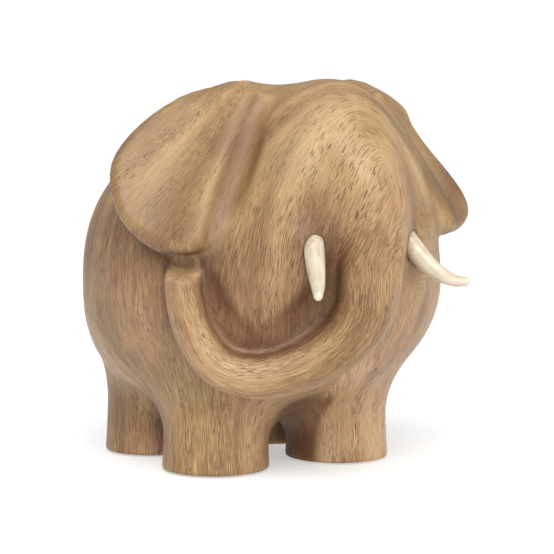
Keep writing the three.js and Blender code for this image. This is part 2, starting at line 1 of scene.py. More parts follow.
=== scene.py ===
import bpy
import math
import numpy as np
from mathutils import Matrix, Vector


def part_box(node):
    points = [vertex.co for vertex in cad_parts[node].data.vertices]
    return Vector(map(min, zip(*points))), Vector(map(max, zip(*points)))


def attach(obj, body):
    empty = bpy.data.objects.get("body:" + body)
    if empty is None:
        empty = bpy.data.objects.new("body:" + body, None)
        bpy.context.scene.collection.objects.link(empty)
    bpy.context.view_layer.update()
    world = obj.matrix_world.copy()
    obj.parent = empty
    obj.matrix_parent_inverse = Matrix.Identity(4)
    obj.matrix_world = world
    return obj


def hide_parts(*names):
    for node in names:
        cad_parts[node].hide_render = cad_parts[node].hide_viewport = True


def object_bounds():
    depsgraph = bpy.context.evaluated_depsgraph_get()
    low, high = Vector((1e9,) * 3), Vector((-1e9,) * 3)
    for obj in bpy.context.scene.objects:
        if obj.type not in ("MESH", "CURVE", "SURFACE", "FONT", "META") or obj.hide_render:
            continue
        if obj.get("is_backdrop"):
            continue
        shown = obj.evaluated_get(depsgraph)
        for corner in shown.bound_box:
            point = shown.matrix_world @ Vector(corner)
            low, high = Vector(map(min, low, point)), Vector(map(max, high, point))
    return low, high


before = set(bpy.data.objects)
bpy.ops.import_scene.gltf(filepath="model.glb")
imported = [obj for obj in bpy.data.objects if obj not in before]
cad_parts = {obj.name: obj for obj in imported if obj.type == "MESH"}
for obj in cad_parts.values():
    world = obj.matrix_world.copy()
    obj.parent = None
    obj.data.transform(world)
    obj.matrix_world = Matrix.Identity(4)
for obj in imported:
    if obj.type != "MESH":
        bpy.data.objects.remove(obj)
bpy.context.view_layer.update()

scene = bpy.context.scene


# ---- The carved body ----------------------------------------------------------------------------
# Head, ears, trunk, barrel and legs are one block of light tan hardwood. It is roughed out, carved
# to soft rounded forms, sanded until no tool mark is left, and waxed to a low satin shine.
MM = 0.001
SOLE_HEIGHT = 0.6                       # mm from the shelf up to the wooden soles
PAD_NAMES = ["pad_front_right", "pad_front_left", "pad_rear_right", "pad_rear_left"]
pad_boxes = [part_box(name) for name in PAD_NAMES]
middle = sum(((low + high) / 2 for low, high in pad_boxes), Vector()) / len(pad_boxes)
BLOCK_ORIGIN = np.array([middle.x, middle.y, min(low.z for low, _ in pad_boxes) + SOLE_HEIGHT * MM])


def soft_union(a, b, reach):
    h = np.maximum(reach - np.abs(a - b), 0) / reach
    return np.minimum(a, b) - h * h * reach / 4


def soft_cut(a, b, reach):
    return -soft_union(-a, -b, reach)


def ease(value, start, end):
    t = np.clip((value - start) / (end - start), 0, 1)
    return t * t * (3 - 2 * t)


def unit(vector):
    vector = np.asarray(vector, float)
    return vector / np.linalg.norm(vector)


def smooth_line(rows, steps, closed=False):
    """A smooth line through the rows, cut into short straight pieces."""
    rows = np.array(rows, float)
    count = len(rows)
    line = []
    for i in range(count if closed else count - 1):
        if closed:
            before, a, b, after = (rows[(i + j) % count] for j in (-1, 0, 1, 2))
        else:
            a, b = rows[i], rows[i + 1]
            before = rows[i - 1] if i else 2 * a - b
            after = rows[i + 2] if i + 2 < count else 2 * b - a
        for t in np.arange(steps) / steps:
            line.append(0.5 * (2 * a + (b - before) * t + (2 * before - 5 * a + 4 * b - after) * t * t
                               + (3 * a - before - 3 * b + after) * t ** 3))
    if not closed:
        line.append(rows[-1])
    return np.array(line)


def along(points, line):
    """Distance to a line of x, y, z, radius rows, as a string of tapering rods."""
    best = np.full(len(points), 1e9)
    for a, b in zip(line[:-1], line[1:]):
        step = b[:3] - a[:3]
        from_a = points - a[:3]
        t = np.clip(from_a @ step / (step @ step), 0, 1)
        away = np.sqrt(((from_a - t[:, None] * step) ** 2).sum(1)) - (a[3] + t * (b[3] - a[3]))
        best = np.minimum(best, away)
    return best


def where_near(points, line, shape=along, reach=30.0):
    """Works the shape out only near its own box; farther off, a safe low distance will do."""
    low = line[:, :3].min(0) - line[:, 3].max()
    high = line[:, :3].max(0) + line[:, 3].max()
    off = np.sqrt((np.maximum(np.maximum(low - points, points - high), 0) ** 2).sum(1))
    result = off + 6.0
    close = off < reach
    if close.any():
        result[close] = shape(points[close], line)
    return result


def ball(points, centre, radii):
    scaled = (points - centre) / radii
    near = np.sqrt((scaled ** 2).sum(1)) + 1e-9
    steep = np.sqrt(((scaled / radii) ** 2).sum(1)) + 1e-9
    return near * (near - 1) / steep


# Barrel: one fat round form, rounder under the chest than along the back and flanks.
BARREL_CENTRE = np.array([0, -20, 105.0])
BARREL_HALF_WIDTH, BARREL_HALF_LENGTH = 103.0, 108.0
BARREL_RISE, BARREL_DROP = 92.0, 78.0


def barrel(points):
    x, y, z = (points - BARREL_CENTRE).T
    up = z > 0
    tall = np.where(up, BARREL_RISE, BARREL_DROP)
    belly = 2.0 + 0.6 * ease(points[:, 1], -70, 20)
    full = np.where(up, 2.35, belly)
    px, py = x / BARREL_HALF_WIDTH, y / BARREL_HALF_LENGTH
    around = np.sqrt(px * px + py * py) + 1e-9
    high = np.abs(z) / tall + 1e-9
    level = (around ** full + high ** full) ** (1 / full)
    shared = level ** (1 - full)
    slope_around = shared * around ** (full - 2)
    slope_high = shared * high ** (full - 1) / tall
    slope = np.sqrt((slope_around * px / BARREL_HALF_WIDTH) ** 2
                    + (slope_around * py / BARREL_HALF_LENGTH) ** 2 + slope_high ** 2)
    return (level - 1) / slope


# Legs: four short stumps that widen to the sole.
LEG_OUT, LEG_ALONG = 40.5, 39.0
FOOT_RADIUS, ANKLE_RADIUS, ANKLE_HEIGHT, LEG_TOP = 30.8, 28.5, 45.0, 62.0


def legs(points):
    x, y, z = points.T
    from_axis = np.sqrt((np.abs(x) - LEG_OUT) ** 2 + (np.abs(y) - LEG_ALONG) ** 2)
    radius = FOOT_RADIUS - (FOOT_RADIUS - ANKLE_RADIUS) * np.sqrt(np.clip(z / ANKLE_HEIGHT, 0, 1))
    return soft_cut(soft_cut(from_axis - radius, -z, 3.0), z - LEG_TOP, 24.0)


# Ears: thick leaves that hang from the crown, each in its own slanting plane. Their edges are rows of
# places across and down that plane, and the left one is narrower at the top.
EAR_ORIGIN = np.array([52, -92, 167.0])
EAR_DOWN = unit([0.46, -0.185, -0.867])
ear_facing = np.array([0.524, -0.732, 0.435])
EAR_FACING = unit(ear_facing - EAR_DOWN * (ear_facing @ EAR_DOWN))
EAR_OUT = np.cross(EAR_FACING, EAR_DOWN)
RIGHT_EAR_EDGE = smooth_line([(-2, -42), (20, -44), (41, -36), (56, -17), (66, 6), (66, 24),
                              (53, 45), (34, 55), (16, 57), (4, 47), (-6, 20), (-8, -15)],
                             3, closed=True)
LEFT_EAR_EDGE = smooth_line([(-2, -44), (18, -47), (37, -39), (45, -28), (50, -6), (59, 17),
                             (63, 33), (58, 45), (44, 49), (22, 45), (4, 41), (-6, 20), (-8, -15)],
                            3, closed=True)
EAR_HALF_THICKNESS, EAR_EDGE_RADIUS, EAR_WAVE = 6.5, 6.2, 2.2
EAR_LOW_CORNER = np.array([-74, -88, 130.0])
EAR_BOX = np.array([[20, -115, 100, 0], [125, -30, 225, 0.0]])


def ear_places(points):
    """Across the ear, down it and out of its face; the right ear mirrors the left."""
    folded = np.stack([np.abs(points[:, 0]), points[:, 1], points[:, 2]], 1) - EAR_ORIGIN
    return folded @ EAR_OUT, folded @ EAR_DOWN, folded @ EAR_FACING


def ear_leaf(points, edge):
    """One ear, as a thick leaf with a round edge and a low wave across it."""
    u, v, w = ear_places(points)
    nearest = np.full(u.shape, 1e9)
    side = np.ones(u.shape)
    for a, b in zip(edge, np.roll(edge, 1, 0)):
        e = b - a
        wx, wy = u - a[0], v - a[1]
        t = np.clip((wx * e[0] + wy * e[1]) / (e @ e), 0, 1)
        nearest = np.minimum(nearest, (wx - e[0] * t) ** 2 + (wy - e[1] * t) ** 2)
        above, below, left = v >= a[1], v < b[1], e[0] * wy > e[1] * wx
        side = np.where((above & below & left) | (~above & ~below & ~left), -side, side)
    wave = EAR_WAVE * np.cos(2 * np.pi * (u - 6) / 58)
    a = side * np.sqrt(nearest) + EAR_EDGE_RADIUS
    b = np.abs(w - wave) - EAR_HALF_THICKNESS + EAR_EDGE_RADIUS
    return (np.sqrt(np.maximum(a, 0) ** 2 + np.maximum(b, 0) ** 2)
            + np.minimum(np.maximum(a, b), 0) - EAR_EDGE_RADIUS)


def ears(points):
    folded = np.stack([np.abs(points[:, 0]), points[:, 1], points[:, 2]], 1)
    on_left = points[:, 0] > 0
    result = np.empty(len(points))
    for side, edge in ((on_left, LEFT_EAR_EDGE), (~on_left, RIGHT_EAR_EDGE)):
        result[side] = where_near(folded[side], EAR_BOX, lambda some, _: ear_leaf(some, edge))
    return result


# Trunk, gouged hollows, ear tops and tail: rows of x, y, z and radius. The trunk curls to the right
# across the chest and its tip is cut off flat, facing up and forwards.
TRUNK = smooth_line([(0, -102, 194, 12.5), (0, -115, 183, 14.5), (0, -124, 167, 16.5),
                     (0, -131, 151, 16.5), (0, -131, 134, 16.5), (0, -130, 118, 16),
                     (0, -130, 104, 15.5), (-2, -128, 90, 15), (-11, -122, 76, 14.2),
                     (-28, -113, 64, 13.2), (-47, -102, 58.5, 12), (-65.5, -92, 63, 11),
                     (-77.5, -87, 79, 10.3), (-83, -85, 97, 9.7), (-85.5, -86, 117, 9.3)], 6)
TRUNK_LIP, TRUNK_LIP_FACING = np.array([-85.5, -86, 112.0]), unit([-0.25, -0.35, 1])
CURL_HOLLOW = smooth_line([(-27, -139, 127, 8), (-21, -138, 119, 11), (-20, -135, 110, 13),
                           (-23, -131, 99, 13), (-31, -127, 88, 11.5), (-42, -121, 79, 9.5),
                           (-54, -113, 73.5, 7.5), (-64, -106, 78, 6.5), (-70, -101, 88, 5.5),
                           (-74, -97, 99, 4), (-76, -95, 109, 2)], 5)
CHEEK_HOLLOW = smooth_line([(28, -141, 128, 7), (27, -141, 116, 9), (25, -138, 103, 9),
                            (20, -133, 90, 7), (12, -131, 76, 4)], 6)
EAR_TOP = smooth_line([(64, -58, 194, 11), (48, -60, 202, 11), (34, -62, 205, 11),
                       (20, -70, 198, 12)], 2)
# The groove in front of each ear. Its rows were first worked out by another program, then rounded.
CREASE = smooth_line([(41.5, -92, 205.5, 4), (48.5, -95.5, 195, 6), (54.5, -98.5, 182.5, 6.8),
                      (61, -101, 169.5, 7.2), (67.5, -103.5, 156, 7.2), (74, -106, 144, 6.5),
                      (78, -106.5, 133, 4)], 2)
TAIL = smooth_line([(0, 86, 125, 6), (0, 88, 110, 5), (0, 88, 95, 4.5), (0, 85, 80, 5.5),
                    (0, 82, 72, 6)], 2)
HEAD_CENTRE, HEAD_RADII = np.array([0, -86, 155.0]), np.array([53, 49, 60.5])
EYE_HOLLOW_CENTRE, EYE_HOLLOW_RADII = np.array([41, -136, 144.0]), np.array([11, 11, 11.0])
TIP_BACKING_CENTRE, TIP_BACKING_RADII = np.array([-69, -67, 122.0]), np.array([15, 14, 14.0])


def trunk(points):
    rod = where_near(points, TRUNK)
    past = (points - TRUNK_LIP) @ TRUNK_LIP_FACING
    return soft_cut(rod, np.where(points[:, 0] < -50, past, -99.0), 2.0)


def crease(points):
    """The groove in front of each ear; the right one is gouged deeper."""
    folded = np.stack([np.abs(points[:, 0]), points[:, 1], points[:, 2]], 1)
    deeper = np.outer(points[:, 0] < 0, [1.0, -1.2, 0.8])
    return where_near(folded + deeper, CREASE)


def carving(points):
    """Distance to the carved surface in mm, negative inside the wood."""
    folded = np.stack([np.abs(points[:, 0]), points[:, 1], points[:, 2]], 1)
    d = soft_union(barrel(points), legs(points), 22.0)
    d = soft_cut(d, -points[:, 2], 1.5)
    d = soft_union(d, ball(points, HEAD_CENTRE, HEAD_RADII), 34.0)
    curl = where_near(points, CURL_HOLLOW)
    d = soft_cut(d, -curl, 9.0)
    d = soft_cut(d, -where_near(points, CHEEK_HOLLOW), 14.0)
    raised = folded.copy()
    raised[:, 2] -= 4 * ease(points[:, 0], -10, 25)
    d = soft_union(d, where_near(raised, EAR_TOP), 12.0)
    low_corner = np.exp(-((points - EAR_LOW_CORNER) ** 2).sum(1) / 24 ** 2)
    d = soft_union(d, ears(points), 5 + 7 * low_corner)
    d = soft_cut(d, -crease(points), 6.0)
    d = soft_cut(d, -ball(folded, EYE_HOLLOW_CENTRE, EYE_HOLLOW_RADII), 9.0)
    outer = ease(curl, 0, 26) * ease(points[:, 0] + 0.35 * (points[:, 2] - 80), -6, 16)
    softness = 5 + 14 * np.maximum(outer, 0.5 * ease(points[:, 2], 130, 175))
    d = soft_union(d, trunk(points), softness)
    d = soft_union(d, ball(points, TIP_BACKING_CENTRE, TIP_BACKING_RADII), 6.0)
    return soft_union(d, where_near(points, TAIL), 4.0)


# The block is sampled on a grid, finely only close to its surface.
CELL = 1.8
axes = [np.arange(low, high + CELL, CELL) for low, high in ((-118, 118), (-156, 98), (-4, 222))]
grid = np.stack(np.meshgrid(*axes, indexing="ij"), -1)
size = np.array(grid.shape[:3])
sparse = carving(grid[::4, ::4, ::4].reshape(-1, 3)).reshape([len(range(0, n, 4)) for n in size])
value = sparse.repeat(4, 0).repeat(4, 1).repeat(4, 2)[:size[0], :size[1], :size[2]].copy()
band = np.abs(value) < 15
value[band] = carving(grid[band])

# One point in each cell that the surface crosses, and one quad round each crossed grid edge.
inside = value < 0
corners = [(i, j, k) for i in (0, 1) for j in (0, 1) for k in (0, 1)]


def cell_view(array, corner):
    i, j, k = corner
    return array[i:size[0] - 1 + i, j:size[1] - 1 + j, k:size[2] - 1 + k]


filled = sum(cell_view(inside, c).astype(int) for c in corners)
active = (filled > 0) & (filled < 8)
number = np.full(active.shape, -1)
number[active] = np.arange(active.sum())
total = np.zeros((active.sum(), 3))
crossings = np.zeros(active.sum())
for a in corners:
    for b in corners:
        if sum(b) - sum(a) == 1 and sum(abs(i - j) for i, j in zip(a, b)) == 1:
            va, vb = cell_view(value, a)[active], cell_view(value, b)[active]
            crossed = (va < 0) != (vb < 0)
            t = np.where(crossed, va / np.where(crossed, va - vb, 1), 0)[:, None]
            place = cell_view(grid, a)[active] * (1 - t) + cell_view(grid, b)[active] * t
            total += place * crossed[:, None]
            crossings += crossed
net = total / crossings[:, None]
quads = []
for axis in range(3):
    others = [n for n in range(3) if n != axis]
    ahead = [slice(None)] * 3
    here = [slice(None)] * 3
    ahead[axis], here[axis] = slice(1, None), slice(None, -1)
    for n in others:
        ahead[n] = here[n] = slice(1, -1)
    flips = np.argwhere(inside[tuple(here)] != inside[tuple(ahead)])
    flips[:, others] += 1
    one, two = (np.eye(3, dtype=int)[n] for n in others)
    if axis == 1:
        one, two = two, one
    ring = np.stack([number[tuple((flips - s).T)] for s in (one + two, two, 0 * one, one)], 1)
    leaving = inside[tuple(flips.T)]
    quads.append(np.where(leaving[:, None], ring, ring[:, ::-1]))
quads = np.concatenate(quads)


def slope_at(points, d):
    e = 0.15
    return np.stack([carving(points + e * np.eye(3)[n]) - d for n in range(3)], 1) / e


def pull_on(points, rounds):
    for _ in range(rounds):
        d = carving(points)
        slope = slope_at(points, d)
        steep = np.maximum(np.linalg.norm(slope, axis=1), 0.5)
        points = points - (np.clip(d / steep, -1.5, 1.5) / steep)[:, None] * slope
    return points


pairs = np.sort(np.concatenate([quads[:, [n, (n + 1) % 4]] for n in range(4)]), 1)
pairs = np.unique(pairs[:, 0] * len(net) + pairs[:, 1])
pair_from, pair_to = pairs // len(net), pairs % len(net)


def neighbours_mean(points):
    count = len(points)
    share = np.bincount(pair_from, minlength=count) + np.bincount(pair_to, minlength=count)
    return np.stack([(np.bincount(pair_from, points[pair_to, n], count)
                      + np.bincount(pair_to, points[pair_from, n], count)) / share
                     for n in range(3)], 1)


net = pull_on(net, 1)
for _ in range(3):
    net = pull_on(0.5 * net + 0.5 * neighbours_mean(net), 1)
net = pull_on(net, 1)


def mesh_object(name, points, faces):
    """A mesh object at the origin from points in row metres."""
    mesh = bpy.data.meshes.new(name)
    mesh.from_pydata(points.tolist(), [], faces.tolist() if isinstance(faces, np.ndarray) else faces)
    mesh.update()
    piece = bpy.data.objects.new(name, mesh)
    bpy.context.collection.objects.link(piece)
    return piece


block = mesh_object("carved_block", net * MM + BLOCK_ORIGIN, quads)


# Sockets for the tusks and their dowels, and a shallow round recess for the pad under each foot,
# are cut with the same tapers and drills as the pieces that fit them, larger by the clearance.
CLEARANCE = 0.3
TUSK_ROOT_RADIUS, TUSK_TIP_RADIUS, TUSK_TAPER = 5.7, 2.4, 2.2
PIN_RADIUS, PIN_LENGTH = 2.0, 18.0
PAD_TOP_GAP = CLEARANCE * MM
TUSK_AXES = {
    "tusk_right": [(-29, -116, 138), (-29.5, -123.5, 130), (-33, -131.5, 121), (-37, -139.5, 113),
                   (-41.5, -148, 106.5), (-46.5, -156, 102)],
    "tusk_left": [(27, -118, 139), (28, -125, 131), (32, -132, 121.5), (37, -139, 113.5),
                  (42, -148, 108.5), (47, -156, 108)],
}


def turned(name, profile, axis, sides, oval=0.0):
    """A form turned from radius, height rows in mm, whose axis is then bent along a line."""
    steps = np.linalg.norm(np.diff(axis, axis=0), axis=1)
    reach = np.concatenate([[0], np.cumsum(steps)])
    way = np.gradient(axis, reach, axis=0)
    way /= np.linalg.norm(way, axis=1, keepdims=True)
    points, rings = [], []
    turn = np.linspace(0, 2 * np.pi, sides, endpoint=False)
    for radius, height in profile:
        t = np.clip(height, 0, reach[-1])
        centre = np.array([np.interp(t, reach, axis[:, n]) for n in range(3)])
        ahead = unit([np.interp(t, reach, way[:, n]) for n in range(3)])
        centre = centre + ahead * (height - t)
        across = unit(np.array([1.0, 0, 0]) - ahead * ahead[0])
        up = np.cross(ahead, across)
        if radius == 0:
            rings.append([len(points)])
            points.append(centre)
            continue
        wide = 1 + oval * height / reach[-1]
        rings.append(list(range(len(points), len(points) + sides)))
        points.extend(centre + radius * (wide * np.cos(a) * across + np.sin(a) / wide * up)
                      for a in turn)
    faces = []
    for low, high in zip(rings[:-1], rings[1:]):
        for n in range(sides):
            m = (n + 1) % sides
            if len(low) == 1:
                faces.append((low[0], high[m], high[n]))
            elif len(high) == 1:
                faces.append((low[n], low[m], high[0]))
            else:
                faces.append((low[n], low[m], high[m], high[n]))
    return mesh_object(name, np.array(points) * MM + BLOCK_ORIGIN, faces)


def tusk_profile(length, grow=0.0):
    straight = length - TUSK_TIP_RADIUS
    rows = []
    for t in np.linspace(0, 1, 60):
        radius = TUSK_ROOT_RADIUS - (TUSK_ROOT_RADIUS - TUSK_TIP_RADIUS) * t ** TUSK_TAPER
        rows.append((radius + grow, straight * t - grow * (1 - t)))
    for angle in np.linspace(0, np.pi / 2, 12)[1:-1]:
        reach = TUSK_TIP_RADIUS + grow
        rows.append((reach * np.cos(angle), straight + reach * np.sin(angle)))
    return rows + [(0, length + grow)]


def line_length(line):
    return np.linalg.norm(np.diff(line, axis=0), axis=1).sum()


cutters = []
for name, rows in TUSK_AXES.items():
    axis = smooth_line(rows, 12)
    wider = [(0, -CLEARANCE)] + tusk_profile(line_length(axis), CLEARANCE)
    cutters.append(turned("socket", wider, axis, 96))
    drill = PIN_RADIUS + CLEARANCE
    deep = PIN_LENGTH / 2 + CLEARANCE
    straight = axis[0] + np.outer([-deep, deep], unit(axis[1] - axis[0]))
    hole = [(0, 0), (drill, 0), (drill, 2 * deep), (0, 2 * deep)]
    cutters.append(turned("drill", hole, straight, 48))
for low, high in pad_boxes:
    foot = (np.array((low + high) / 2) - BLOCK_ORIGIN) / MM
    top = (high.z + PAD_TOP_GAP - BLOCK_ORIGIN[2]) / MM
    wide = (high.x - low.x) / 2 / MM + CLEARANCE
    upright = np.array([[foot[0], foot[1], -9], [foot[0], foot[1], top]])
    cutters.append(turned("recess", [(0, 0), (wide, 0), (wide, top + 9), (0, top + 9)], upright, 96))


def evaluated_mesh(piece):
    ready = piece.evaluated_get(bpy.context.evaluated_depsgraph_get())
    return bpy.data.meshes.new_from_object(ready)


for cutter in cutters:
    cut = block.modifiers.new("cut", "BOOLEAN")
    cut.operation, cut.solver, cut.object = "DIFFERENCE", "MANIFOLD", cutter
body = bpy.data.objects.new("carved_wood_body", evaluated_mesh(block))
bpy.context.collection.objects.link(body)
for spare in [block, *cutters]:
    bpy.data.objects.remove(spare)
body.data.shade_smooth()
body.data.set_sharp_from_angle(angle=math.radians(50))


# The fibres of the block show as streaks that bend with the carving. Each part of the carving has
# its own places along and across the fibre, and the parts run into each other softly.
count = len(body.data.vertices)
places = np.empty(count * 3)
body.data.vertices.foreach_get("co", places)
places = (places.reshape(-1, 3) - BLOCK_ORIGIN) / MM
facing = np.empty(count * 3)
body.data.vertices.foreach_get("normal", facing)
facing = facing.reshape(-1, 3)
x, y, z = places.T

# Barrel: fibres run down it like the lines of longitude on a globe.
FLANK_RADIUS = 100.0
from_middle = places - BARREL_CENTRE
around = np.hypot(from_middle[:, 0], from_middle[:, 1])
level = np.arctan2(from_middle[:, 2], around)
flank = np.stack([FLANK_RADIUS * from_middle[:, 0] / np.maximum(around, 1),
                  FLANK_RADIUS * from_middle[:, 1] / np.maximum(around, 1), FLANK_RADIUS * level], 1)

# Head: fibres rise from the cheek, turn over the forehead and run down again beside the trunk.
# Each row is a place on the head, in mm sideways and up from its middle, and the fibre's slope.
# Another program worked the rows out, so they are a table to replace with a rule for the fibre.
FIBRES_ON_HEAD = [
    (-49, 26, 74), (-32, 45, 53), (-44, 56, 48), (-20, 57, 40), (-7, 63, 31), (8, 61, 10),
    (24, 51, -24), (31, 39, -67), (42, 18, -66), (18, 9, 59), (13, 31, 51), (-4, 23, 60),
    (-20, 10, 69), (-32, -3, 80), (-36, -21, 91), (-39, -32, 95), (18, -9, 66), (30, -14, 66),
    (50, -2, -86), (52, -26, -92), (-13, -2, 70), (3, 8, 60), (6, 41, 44), (-53, -9, 83),
    (0, -15, 68), (28, 4, 58), (18, -26, 64),
]
# The head is laid out flat round a pole on its right brow, which points at this scene's camera.
HEAD_MIDDLE = np.array([0, -86, 150.0])
HEAD_TURN = math.radians(-30.7)
head_right = np.array([math.cos(HEAD_TURN), math.sin(HEAD_TURN), 0])
head_ahead = np.array([math.sin(HEAD_TURN), -math.cos(HEAD_TURN), 0.04])
head_ahead /= np.linalg.norm(head_ahead)
head_up = np.cross(head_ahead, head_right)
off_head = places - HEAD_MIDDLE
off_head /= np.linalg.norm(off_head, axis=1, keepdims=True)
flat = np.stack([off_head @ head_right, off_head @ head_up], 1)
flat *= 110 / np.maximum(1 + off_head @ head_ahead, 0.35)[:, None]

CHART_STEP = 4.0
across_axis, up_axis = np.arange(-120, 121, CHART_STEP), np.arange(-110, 131, CHART_STEP)
cells = np.stack(np.meshgrid(across_axis[:-1] + CHART_STEP / 2, up_axis[:-1] + CHART_STEP / 2,
                             indexing="ij"), -1)
rows = np.array(FIBRES_ON_HEAD, float)
weight = 1 / (((cells[:, :, None, :] - rows[:, :2]) ** 2).sum(-1) + 36.0) ** 2
slope = np.radians((weight * rows[:, 2]).sum(-1) / weight.sum(-1))
fibre = np.stack([np.cos(slope), np.sin(slope)], -1)
side_way = np.stack([-np.sin(slope), np.cos(slope)], -1)


def rise(f):
    """How a sheet of heights rises both ways, in the middle of each cell."""
    sideways = (f[1:, 1:] + f[1:, :-1] - f[:-1, 1:] - f[:-1, :-1]) / (2 * CHART_STEP)
    upward = (f[1:, 1:] + f[:-1, 1:] - f[1:, :-1] - f[:-1, :-1]) / (2 * CHART_STEP)
    return np.stack([sideways, upward], -1)


def gather(r):
    """The transpose of rise."""
    f = np.zeros((len(across_axis), len(up_axis)))
    a, b = r[..., 0] / (2 * CHART_STEP), r[..., 1] / (2 * CHART_STEP)
    f[1:, 1:] += a + b
    f[1:, :-1] += a - b
    f[:-1, 1:] += b - a
    f[:-1, :-1] -= a + b
    return f


def sheet_rising(uphill, level_way, hold):
    """The sheet that rises one for one along uphill and stays as level as it can the other way."""
    def weighed(f):
        r = rise(f)
        return gather((r * uphill).sum(-1)[..., None] * uphill
                      + hold * (r * level_way).sum(-1)[..., None] * level_way)
    sheet = np.zeros((len(across_axis), len(up_axis)))
    left = gather(uphill)
    step = left.copy()
    for _ in range(400):
        pushed = weighed(step)
        t = (left * left).sum() / (step * pushed).sum()
        sheet += t * step
        after = left - t * pushed
        if (after * after).sum() < 1e-12:
            break
        step = after + (after * after).sum() / (left * left).sum() * step
        left = after
    return sheet


def read_sheet(sheet, at):
    i = np.clip((at[:, 0] - across_axis[0]) / CHART_STEP, 0, len(across_axis) - 1.001)
    j = np.clip((at[:, 1] - up_axis[0]) / CHART_STEP, 0, len(up_axis) - 1.001)
    a, b = i.astype(int), j.astype(int)
    u, v = i - a, j - b
    return ((1 - u) * (1 - v) * sheet[a, b] + u * (1 - v) * sheet[a + 1, b]
            + (1 - u) * v * sheet[a, b + 1] + u * v * sheet[a + 1, b + 1])


across_head = read_sheet(sheet_rising(side_way, fibre, 6.0), flat)
along_head = read_sheet(sheet_rising(fibre, side_way, 0.3), flat)
head = np.stack([across_head, np.full(count, 50.0), along_head], 1)
head_share = ease(-y, 60, 84) * ease(z, 92, 118) * (1 - ease(x, 60, 76) * ease(-z, -165, -140))

# Legs: fibres run down each leg. Crown: the fibres stand upright and show their ends.
leg_x, leg_y = np.abs(x) - LEG_OUT, np.abs(y) - LEG_ALONG
from_leg = np.maximum(np.hypot(leg_x, leg_y), 1)
LEG_GIRTH = 32.0
on_leg = np.stack([LEG_GIRTH * leg_x / from_leg + 200 * np.sign(x),
                   LEG_GIRTH * leg_y / from_leg + 90 * np.sign(y), z], 1)
on_crown = z > 100
upright = np.where(on_crown[:, None], places, on_leg)
upright_share = np.where(on_crown, ease(-around, -62, -35) * ease(y, -60, -44) * ease(z, 140, 160),
                         ease(-z, -86, -56))
on_head = head_share > 0
second = np.where(on_head[:, None], head, upright)
second_share = np.where(on_head, head_share, upright_share)

# Ears: fibres run down their length. Trunk: fibres run along it and turn a little round it.
u, v, w = ear_places(places)
ear_off = ears(places)
fan_u, fan_v = u + 10, v + 110
ear_fibre = np.stack([110 * np.arctan2(fan_u, fan_v), np.where(x > 0, 40.0, 90.0),
                      np.hypot(fan_u, fan_v)], 1)
ear_share = ease(-ear_off, -5, -1.5) * ease(w, -9, -4)
reach = np.concatenate([[0], np.cumsum(np.linalg.norm(np.diff(TRUNK[:, :3], axis=0), axis=1))])
gap = np.full(count, 1e9)
trunk_places = np.zeros((count, 3))
side = np.array([1.0, 0, 0])
for n, (a, b) in enumerate(zip(TRUNK[:-1], TRUNK[1:])):
    step = b[:3] - a[:3]
    ahead = unit(step)
    side = unit(side - ahead * (side @ ahead))
    other = np.cross(ahead, side)
    t = np.clip((places - a[:3]) @ step / (step @ step), 0, 1)
    out = places - a[:3] - t[:, None] * step
    radius = a[3] + t * (b[3] - a[3])
    far = np.linalg.norm(out, axis=1) - radius
    better = far < gap
    angle = np.arctan2(out @ other, out @ side)
    here = reach[n] + t * np.linalg.norm(step)
    twist = angle + 0.004 * here
    found = np.stack([14 * np.cos(twist), 14 * np.sin(twist), here], 1)
    trunk_places[better] = found[better]
    gap = np.where(better, far, gap)
beside_crest = ease(flat[:, 0] - 24 - 0.3 * (36 - flat[:, 1]), -3, 3)
down_trunk = trunk_places[:, 2]
trunk_share = ease(-gap, -7, -1.5) * np.maximum(ease(down_trunk, 78, 104),
                                                beside_crest * ease(down_trunk, 26, 50))
on_trunk = trunk_share > 0
third = np.where(on_trunk[:, None], trunk_places, ear_fibre)
third_share = np.where(on_trunk, trunk_share, ear_share)

# Painted shade: the colour is darkened where shade falls, in hollows and creases, inside the
# trunk's curl, along its lower curl, in the groove in front of the right ear and under the belly
# between the legs. Convex ridges are painted lighter, partly as wear from handling and partly as
# painted highlight.
hollow = np.zeros(count)
for depth, share in ((3, 0.15), (7, 0.25), (15, 0.35), (30, 0.35)):
    hollow += share * np.clip(1 - carving(places + depth * facing) / depth, 0, 1.5)
# Convex ridges: partly wear from handling, partly painted highlight.
ridge = np.clip(1 + carving(places - 6.0 * facing) / 6.0, 0, 1) * ease(z, 4, 14)
# Painted shade inside the trunk's curl.
curl_shade = ease(-where_near(places, CURL_HOLLOW), -34, -2) * (1 - 0.7 * ease(-gap, -6, 0))
hollow += 0.30 * curl_shade
# Less painted shade at the trunk's tip.
hollow *= 1 - 0.6 * np.exp(-((places - (-85, -90, 119)) ** 2).sum(1) / 15 ** 2)
# Painted shade along the trunk's lower curl, where it meets the chest.
hollow += 0.55 * ease(gap, 0.2, 1.0) * ease(-gap, -6, -2) * ease(down_trunk, 150, 190)
# Painted shade under the belly between the legs.
hollow += 1.1 * ease(-np.abs(x), -19, -8) * ease(-z, -50, -34)
# Painted shade in the groove in front of the right ear.
hollow += 0.24 * ease(-crease(places), -2, 0.5) * (x < 0) * ease(z, 118, 140)
# The trunk's flat cut tip is kept clear of painted shade and painted lighter, as if lit.
past_lip = (places - TRUNK_LIP) @ unit(TRUNK_LIP_FACING)
lip_face_painted_light = ease(-gap, 0.2, 1.0) * np.exp(-(past_lip / 1.6) ** 2) * (x < -60)
hollow *= 1 - lip_face_painted_light

